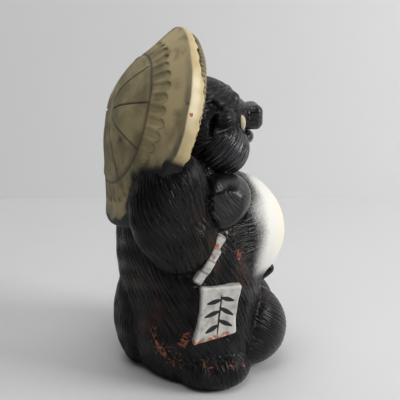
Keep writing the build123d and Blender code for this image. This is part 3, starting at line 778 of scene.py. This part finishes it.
SPOKE_INNER = (8, 14)  # radii where a spoke begins and where it is full
SCALLOPS = 40
SCALLOP_END = 70.5
SCALLOP_HALF_WIDTH = 4.4
SCALLOP_DEPTH = 2.3
SCALLOP_UNEVEN = (0.25, 0.8)  # of the half width and of the end
DENT_SHARES = (0.75, 0.8, 0.7)  # how dark the wash lies in the ring and spokes, and how dark the painted shade at the scallops' outer ends is
HAT_PINCH = 0.03  # share that the hat is narrower towards its top
HAT_SAG = 9.0  # how far its sides bow forward round the head
RIM_LIP = 2.0  # of the rim in front of the lining's edge
LIP_DRAW = 4.0  # how much narrower the rim is at the top
LIP_DRAW_ANGLES = (1.0, 0.6)  # radians from the hat's top
RIM_SWELL = 0.7
RIM_WAVE = (0.75, 0.3)  # along the axis and outward
HAT_SWELL = 6.0  # how much further its upper half is domed
HAT_SWELL_ANGLES = (2.4, 1.0)
SHOULDER_SHRINK = 0.08  # share by which the hat draws in under the shoulders
SHOULDER_END = np.radians((158.0, 128.0))  # where it is back at its full radius, and where that starts
SPRAY_RADII = (79.0, 86.0)  # where black is sprayed over the hat's edge at the shoulders
SPRAY_ANGLES = np.radians((88.0, 99.0))  # and how far from the hat's top it starts
ARM_SPRAY = (9.0, -2.0)  # distances to the arm where that spray begins and where it is full
SPRAY_WANDER = 2.0
HAT_WEAR = [((-80.9, 20.4, 239.4), 2.6), ((-62, 58, 178), 3.0)]
HAT_WEAR_STRENGTH = 0.72
HAT_PITS = [((-33.4, 68.6, 209.2), 2.6), ((-75.8, 21.8, 247.1), 1.2)]
RIM_HIGHLIGHT_ANGLES = ((0.66, 0.88), (1.38, 1.14))  # radians from the top, where a highlight is painted along the rim
RIM_HIGHLIGHT_SHARES = ((0.0, 0.15), (0.9, 0.4))  # and where across the rim
CREST_ANGLES = (0.3, 1.2)  # where the painted shade line of the edge begins and where it is full
BAND_ANGLES = (2.0, 1.0)  # and the same for the strip of painted highlight inside the crest
LINING_INNER_RADIUS = 40.0
LINING_BULGE = 10.0
LINING_CROWN = 0.6  # how much more it bulges at the top
LINING_EDGE = 1.0
LINING_RIBS = 110
LINING_RIB_TURNS = 0.55  # radians to a millimetre of radius
LINING_RIB_HEIGHT = 0.6
LINING_ROWS = 26
COLUMNS = 640


def from_top(angle):
    """How far round the hat a place lies from its top, on either side."""
    return np.minimum(angle, 2 * math.pi - angle)


def hat_places(radius, angle, height):
    """Points of the hat from its own polar places, with its sides bowed forward."""
    height = height - HAT_SAG * np.square(np.sin(angle) * radius / HAT_RADIUS)
    shoulder = fade(*SPRAY_ANGLES, from_top(angle)) * fade(*SHOULDER_END, from_top(angle))
    drawn_in = SHOULDER_SHRINK * shoulder * fade(0.6, 1.0, radius / HAT_RADIUS)
    radius = radius * (1 - drawn_in - HAT_PINCH * np.maximum(np.cos(angle), 0) ** 4)
    spread = np.cos(angle)[..., None] * HAT_UP + np.sin(angle)[..., None] * HAT_SIDE
    return HAT_CENTRE + radius[..., None] * spread + height[..., None] * HAT_AXIS


def lathe(rows, columns):
    """Faces of a closed ring of rows, each a ring of columns."""
    row, column = np.meshgrid(np.arange(rows), np.arange(columns), indexing="ij")
    after_row, after_column = (row + 1) % rows, (column + 1) % columns
    corners = [row * columns + column, row * columns + after_column]
    corners += [after_row * columns + after_column, after_row * columns + column]
    return np.stack(corners, axis=-1).reshape(-1, 4)


def tool_marks(radius, angle):
    """Depth of the marks on the crown, and how dark the wash lies in them, with painted shade at the outer
    ends of the scallops.
    """
    ring = np.exp(-np.square((radius - RING_RADIUS) / RING_WIDTH))
    lip = np.exp(-np.square((radius - RING_RADIUS + RING_LIP_OFFSET) / RING_LIP_WIDTH))
    turn = 2 * math.pi / SPOKES
    off_spoke = ((angle - SPOKE_START + turn / 2) % turn - turn / 2) * radius
    inside_ring = fade(RING_RADIUS, RING_RADIUS - 2, radius) * fade(*SPOKE_INNER, radius)
    spoke = np.exp(-np.square(off_spoke / SPOKE_WIDTH)) * inside_ring
    count = angle * SCALLOPS / (2 * math.pi)
    number = np.floor(count)
    beside = (count - number - 0.5) * 2 * math.pi / SCALLOPS * radius
    width = SCALLOP_HALF_WIDTH + SCALLOP_UNEVEN[0] * np.sin(number * 2.4)
    end = SCALLOP_END + SCALLOP_UNEVEN[1] * np.sin(number * 1.7) - width
    out = np.hypot(beside, np.maximum(radius - end, 0)) - width
    tongue = fade(0.3, -3.0, out) * fade(RING_RADIUS + 0.5, RING_RADIUS + 3, radius)
    deeper = 0.35 + 0.65 * np.clip((radius - RING_RADIUS) / (SCALLOP_END - RING_RADIUS), 0, 1)
    depth = RING_DEPTH * ring - RING_LIP_HEIGHT * lip + SPOKE_DEPTH * spoke
    depth = depth + SCALLOP_DEPTH * tongue * deeper
    # Painted shade in the outer end of each scallop, where its wall turns from the light.
    edge = np.exp(-np.square((out + 0.6) / 0.9)) * fade(end - 1, end + 2, radius)
    dark = sum(share * mark for share, mark in zip(DENT_SHARES, (ring, spoke, edge)))
    return depth, np.clip(dark, 0, 1)


def crown_rows():
    """Radius, height and kind of each row: the crown from its top to the rim, then its hollow."""
    dome = np.linspace(HAT_HOLE, HAT_RADIUS, HAT_ROWS)
    rows = [(radius, through(HAT_PROFILE_RADII, HAT_PROFILE_HEIGHTS, radius), 0.0) for radius in dome]
    rows += [(HAT_RADIUS, HAT_RIM - (HAT_RIM + RIM_LIP) * share, share) for share in np.linspace(0.1, 1, 11)]
    rows += [(HAT_RADIUS - WALL, 0.0, 1.0)]
    for radius in np.linspace(HAT_RADIUS - WALL, HAT_HOLE, 12):
        rows.append((radius, through(HAT_PROFILE_RADII, HAT_PROFILE_HEIGHTS, radius) - WALL, -1.0))
    return np.array(rows)


def add_hat():
    """Domed crown with its tool marks and thick rim, and its lining."""
    rows = crown_rows()
    angle = np.linspace(0, 2 * math.pi, COLUMNS, endpoint=False)
    radius, height, kind = (np.repeat(rows[:, [k]], COLUMNS, axis=1) for k in range(3))
    angle = np.repeat(angle[None], len(rows), axis=0)
    dome = kind == 0
    depth, dent = tool_marks(radius, angle)
    swell = HAT_SWELL * np.sin(math.pi * radius / HAT_RADIUS) * fade(*HAT_SWELL_ANGLES, from_top(angle))
    height = height - np.where(dome, depth, 0) + np.where(kind > 0, 0, swell)
    waves = np.sin(angle * 43 + 0.8 * np.sin(angle * 5)) + 0.6 * np.sin(angle * 27 + 1)
    rim = np.clip(kind, 0, 1)
    narrower = LIP_DRAW * rim * fade(*LIP_DRAW_ANGLES, from_top(angle))
    height = height + RIM_WAVE[0] * waves * rim**2 + narrower
    radius = radius + RIM_SWELL * np.sin(math.pi * rim) + RIM_WAVE[1] * waves * rim
    places = hat_places(radius, angle, height).reshape(-1, 3)
    places = places + HAT_AXIS * (HAT_RIPPLE * ripple(places, 34.0, 13) * (kind.ravel() >= 0))[:, None]
    drift = SPRAY_WANDER * ripple(places, 20.0, 15)
    arm = FORMS["arm"].distance(folded(places)) + drift
    edge_spray = fade(*SPRAY_RADII, radius.ravel() + drift) * fade(*SPRAY_ANGLES, from_top(angle).ravel())
    # Painted shade line just inside the crest.
    crest = dome * fade(HAT_RADIUS - 6, HAT_RADIUS - 2, radius) * fade(*CREST_ANGLES, from_top(angle))
    # Strip of painted highlight on the top of the dome, inside the crest.
    highlight_band = dome * fade(RING_RADIUS, SCALLOP_END + 4, radius) * fade(*BAND_ANGLES, from_top(angle))
    # Painted highlight along the middle of the rim, on part of its round.
    rim_highlight = np.ones_like(rim)
    for edges in RIM_HIGHLIGHT_SHARES:
        rim_highlight = rim_highlight * fade(*edges, rim)
    for edges in RIM_HIGHLIGHT_ANGLES:
        rim_highlight = rim_highlight * fade(*edges, from_top(angle))
    marks = {
        "dent": np.maximum(np.where(dome, dent, 0).ravel(), spots(places, HAT_PITS)),
        "rim": fade(0.0, 0.12, rim).ravel(),
        "grey": crest.ravel(),
        "highlight_band": highlight_band.ravel(),
        "spray": np.maximum(edge_spray, fade(*ARM_SPRAY, arm)),
        "rim_highlight": rim_highlight.ravel(),
        "wear": HAT_WEAR_STRENGTH * spots(places, HAT_WEAR),
    }
    wash = hat_wash()
    piece("hat_crown_clay", places, lathe(len(rows), COLUMNS), wash, ["hat_crown"], marks)
    add_lining(wash)


def add_lining(wash):
    """Bulged underside with pressed ribs."""
    turn = np.linspace(0, math.pi / 2, LINING_ROWS)
    reach = HAT_RADIUS - LINING_EDGE - LINING_INNER_RADIUS
    outer = np.stack([LINING_INNER_RADIUS + reach * np.sin(turn), -LINING_BULGE * np.cos(turn)], axis=1)
    inner_radii = LINING_INNER_RADIUS + (reach - WALL) * np.sin(turn)
    inner = np.stack([inner_radii, (WALL - LINING_BULGE) * np.cos(turn)], axis=1)
    rows = np.concatenate([inner, outer[::-1]])
    shown = np.repeat([0.0, 1.0], len(turn))[:, None]
    angle = np.repeat(np.linspace(0, 2 * math.pi, COLUMNS, endpoint=False)[None], len(rows), axis=0)
    radius, height = (np.repeat(rows[:, [k]], COLUMNS, axis=1) for k in range(2))
    ribs = np.sin(angle * LINING_RIBS) * np.cos(radius * LINING_RIB_TURNS)
    height = height * (1 + LINING_CROWN * np.maximum(np.cos(angle), 0))
    height = height - LINING_RIB_HEIGHT * ribs * shown
    places = hat_places(radius, angle, height).reshape(-1, 3)
    marks = {"dent": (fade(0.1, -0.7, ribs) * shown).ravel()}
    for mark in ("rim", "grey", "highlight_band", "spray", "rim_highlight", "wear"):
        marks[mark] = np.zeros(len(places))
    piece("hat_lining_clay", places, lathe(len(rows), COLUMNS), wash, ["hat_lining"], marks)


# Plaque and claws

BOOK_TOP = 94.5
BOOK_FRONT = (-22.0, -18.0, 53.5)  # Y at the top, Y at the foot, Z of the foot
BOOK_BACK = (12.0, 19.0, 45.5)
BOOK_WAIST = 2.5
BOOK_OUTER = -82.0
BOOK_INNER = -72.0
BOOK_EDGE = 2.0
BOOK_HOLLOW = 1.5  # of its outer face
BOOK_RIPPLE = 0.18
BOOK_ROOM = 4.0
BOOK_WEAR_HEIGHT = 49.0  # of the worn strip along the foot, at BOOK_WEAR_START
BOOK_WEAR_START = 10.0
BOOK_WEAR_FALL = 0.22  # how much lower it lies for each millimetre of Y
BOOK_WEAR_WIDTH = 4.5
BOOK_WEAR_EDGE = (-18, -8)  # Y where it begins and where it is full
STEM_WIDTH = 0.7
LEAF_WIDTH = 1.9
SPRIG_STEM = [((-1.0, 52.0), (-5.0, 88.0))]
SPRIG_LEAVES = [
    ((-2.0, 62.0), (8.0, 56.0)), ((-2.5, 66.0), (-13.0, 60.5)), ((-3.5, 74.0), (8.5, 69.5)),
    ((-3.5, 77.0), (-14.0, 70.0)), ((-4.5, 84.0), (6.5, 81.0)), ((-4.5, 86.0), (-14.5, 82.5)),
]


def strokes(y, z, lines, width):
    """How much brushed lines cover each point, thickest in their middle."""
    cover = np.zeros(len(y))
    for start, end in lines:
        run = np.subtract(end, start)
        share = np.clip(((y - start[0]) * run[0] + (z - start[1]) * run[1]) / (run @ run), 0, 1)
        away = np.hypot(y - start[0] - share * run[0], z - start[1] - share * run[1])
        half = width * (0.35 + 0.65 * np.sin(math.pi * np.clip(share, 0.02, 0.98)))
        cover = np.maximum(cover, fade(half + 0.5, half - 0.3, away))
    return cover


def add_plaque(white):
    """White plaque at the right hip, with a leaf sprig brushed on it."""
    low = np.array((BOOK_OUTER, BOOK_FRONT[0], BOOK_BACK[2])) - BOOK_ROOM
    high = np.array((BOOK_INNER, BOOK_BACK[1], BOOK_TOP)) + BOOK_ROOM
    points = grid(low, high, FINE_STEP)
    x, y, z = np.moveaxis(points, -1, 0)
    share = np.clip((BOOK_TOP - z) / (BOOK_TOP - BOOK_BACK[2]), 0, 1)
    waist = BOOK_WAIST * np.sin(math.pi * share)
    front = BOOK_FRONT[0] + (BOOK_FRONT[1] - BOOK_FRONT[0]) * share + waist - y
    back = y - BOOK_BACK[0] - (BOOK_BACK[1] - BOOK_BACK[0]) * share + waist
    along = (y - BOOK_FRONT[1]) / (BOOK_BACK[1] - BOOK_FRONT[1])
    foot = BOOK_FRONT[2] + (BOOK_BACK[2] - BOOK_FRONT[2]) * along - z
    hollow = BOOK_HOLLOW * np.sin(math.pi * share)
    faces = [front, back, foot, z - BOOK_TOP, BOOK_OUTER + hollow - x, x - BOOK_INNER]
    field = faces[0]
    for face in faces[1:]:
        field = -joined(-field, -face, BOOK_EDGE)
    places, quads = skin(field + BOOK_RIPPLE * ripple(points, 12.0, 17), points)
    y, z = places[:, 1], places[:, 2]
    outside = places[:, 0] < BOOK_OUTER + 3.2
    stems = strokes(y, z, SPRIG_STEM, STEM_WIDTH)
    leaves = strokes(y, z, SPRIG_LEAVES, LEAF_WIDTH)
    off_strip = z - BOOK_WEAR_HEIGHT + BOOK_WEAR_FALL * (y - BOOK_WEAR_START)
    worn = np.exp(-np.square(off_strip / BOOK_WEAR_WIDTH))
    marks = {
        "ink": np.maximum(stems, leaves) * outside,
        # The plaque's sides, off its outer face, are greyed as painted shade.
        "dent": 0.5 * fade(BOOK_OUTER + 2.4, BOOK_OUTER + 4.5, places[:, 0]),
        "wear": WEAR_STRENGTH * worn * fade(*BOOK_WEAR_EDGE, y),
    }
    piece("passbook_clay", places, quads, white, ["passbook"], marks)


CLAW_COUNT = 4
CLAW_ROW = (np.array((-71.5, -4.0, 130.5)), np.array((-75.0, 12.0, 103.0)))  # first and last claw
CLAW_BULGE = np.array((-1.8, -1.2, -0.8))  # of the middle of the row
CLAW_HALVES = (3.6, 3.7, 6.1)  # outward, across the row and along it
CLAW_TURN = turned(("X", 31))
CLAW_EDGE = 1.6
CLAW_RIPPLE = 0.15
CLAW_WEAR = [((-76, 2, 120), 7), ((-74, -4, 128), 6)]
CLAW_WEAR_STRENGTH = 0.5


def add_claws(white, side, sign):
    """Row of blunt claws on the front edge of a paw."""
    first, last = CLAW_ROW
    points = grid(np.minimum(first, last) - PAD, np.maximum(first, last) + PAD, FINE_STEP)
    field = np.full(points.shape[:-1], 50.0)
    for number in range(CLAW_COUNT):
        share = number / (CLAW_COUNT - 1)
        centre = first + (last - first) * share + CLAW_BULGE * math.sin(math.pi * share)
        field = joined(field, block(points, centre, CLAW_HALVES, CLAW_TURN, CLAW_EDGE), CLAW_EDGE)
    places, quads = skin(field + CLAW_RIPPLE * ripple(points, 8.0, 19), points)
    along = (places - first) @ (last - first) / np.sum(np.square(last - first)) * (CLAW_COUNT - 1)
    between = np.abs(along + 0.5 - np.round(along + 0.5))
    marks = {
        "ink": np.zeros(len(places)),
        "dent": 0.8 * fade(0.12, 0.02, between),
        "wear": CLAW_WEAR_STRENGTH * spots(places, CLAW_WEAR),
    }
    if sign < 0:
        places = places * (-1, 1, 1)
        quads = quads[:, ::-1]
    piece(side + "_claws_clay", places, quads, white, [side + "_claws"], marks)


# Pieces that keep their CAD shape


def dress(node, material):
    """CAD node with a material of its own."""
    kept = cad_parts[node]
    kept.data.materials.clear()
    kept.data.materials.append(material)


# Stage

FLOOR_COLOUR = (0.74, 0.74, 0.74)
WALL_COLOUR = (0.92, 0.92, 0.92)
WALL_BEHIND = 0.435
WALL_HEIGHT = 3
STAGE_HALF = 4
PLASTER_SHADE = 0.93
SKY_COLOUR = (0.93, 0.96, 1.0, 1)
SKY_STRENGTH = 0.08
LAMPS = [  # name, place, aim, size in m and power in W
    ("window", (-0.75, -1.4, 0.85), (0, 0, 0.12), 0.8, 20),
    ("ceiling", (-0.3, 0.2, 1.9), (0, 0, 0.1), 1.3, 14.5),
]


def flat(name, corners, material):
    mesh = bpy.data.meshes.new(name)
    mesh.from_pydata(corners, [], [range(len(corners))])
    mesh.materials.append(material)
    made = bpy.data.objects.new(name, mesh)
    bpy.context.scene.collection.objects.link(made)


def plaster(name, colour):
    """Faintly clouded material, with the graph that it is built in."""
    g = Graph(name)
    cloud = g.noise(g.place(), 6.0, 4.0)
    shade = tuple(PLASTER_SHADE * part for part in colour)
    return g, g.finish(g.mix(cloud, shade, colour), 0.8)


def one_sided(g):
    """Lets a wall be seen through from behind."""
    output = g.tree.nodes["Material Output"]
    mixed = g.node("MixShader")
    g.put(mixed.inputs[0], g.node("NewGeometry").outputs["Backfacing"])
    g.put(mixed.inputs[1], g.shader.outputs[0])
    g.put(mixed.inputs[2], g.node("BsdfTransparent").outputs[0])
    g.put(output.inputs["Surface"], mixed.outputs[0])


def add_stage():
    """Floor, and a wall behind the figure as the camera sees it."""
    _, floor = plaster("floor", FLOOR_COLOUR)
    corners = ((-1, -1), (1, -1), (1, 1), (-1, 1))
    flat("floor", [(x * STAGE_HALF, y * STAGE_HALF, 0) for x, y in corners], floor)
    g, wall = plaster("wall", WALL_COLOUR)
    one_sided(g)
    away = Vector((-camera_direction().x, -camera_direction().y, 0)).normalized()
    along = Vector((-away.y, away.x, 0)) * STAGE_HALF
    foot = away * WALL_BEHIND
    top = Vector((0, 0, WALL_HEIGHT))
    flat("wall", [foot + along, foot - along, foot - along + top, foot + along + top], wall)


def add_lamp(name, place, aim, size, energy):
    data = bpy.data.lights.new(name, "AREA")
    data.size = size
    data.energy = energy
    lamp = bpy.data.objects.new(name, data)
    bpy.context.scene.collection.objects.link(lamp)
    lamp.location = place
    lamp.rotation_mode = "QUATERNION"
    lamp.rotation_quaternion = (Vector(aim) - Vector(place)).to_track_quat("-Z", "Y")


def add_light():
    world = bpy.data.worlds.new("world")
    bpy.context.scene.world = world
    world.use_nodes = True
    sky = world.node_tree.nodes["Background"]
    sky.inputs["Color"].default_value = SKY_COLOUR
    sky.inputs["Strength"].default_value = SKY_STRENGTH
    for lamp in LAMPS:
        add_lamp(*lamp)


add_camera()
add_stage()
add_light()
add_body()
add_hat()
white_paint = white_clay()
add_plaque(white_paint)
add_claws(white_paint, "right", 1)
add_claws(white_paint, "left", -1)
dress("teeth", ivory_clay())
dress("flask", flask_glaze())
dress("base_plate", bare_clay())
dress("seam_coil", bare_clay())
for eye in ("right_eye", "left_eye"):
    dress(eye, eye_paint(eye))

bpy.context.scene.view_settings.view_transform = "Standard"
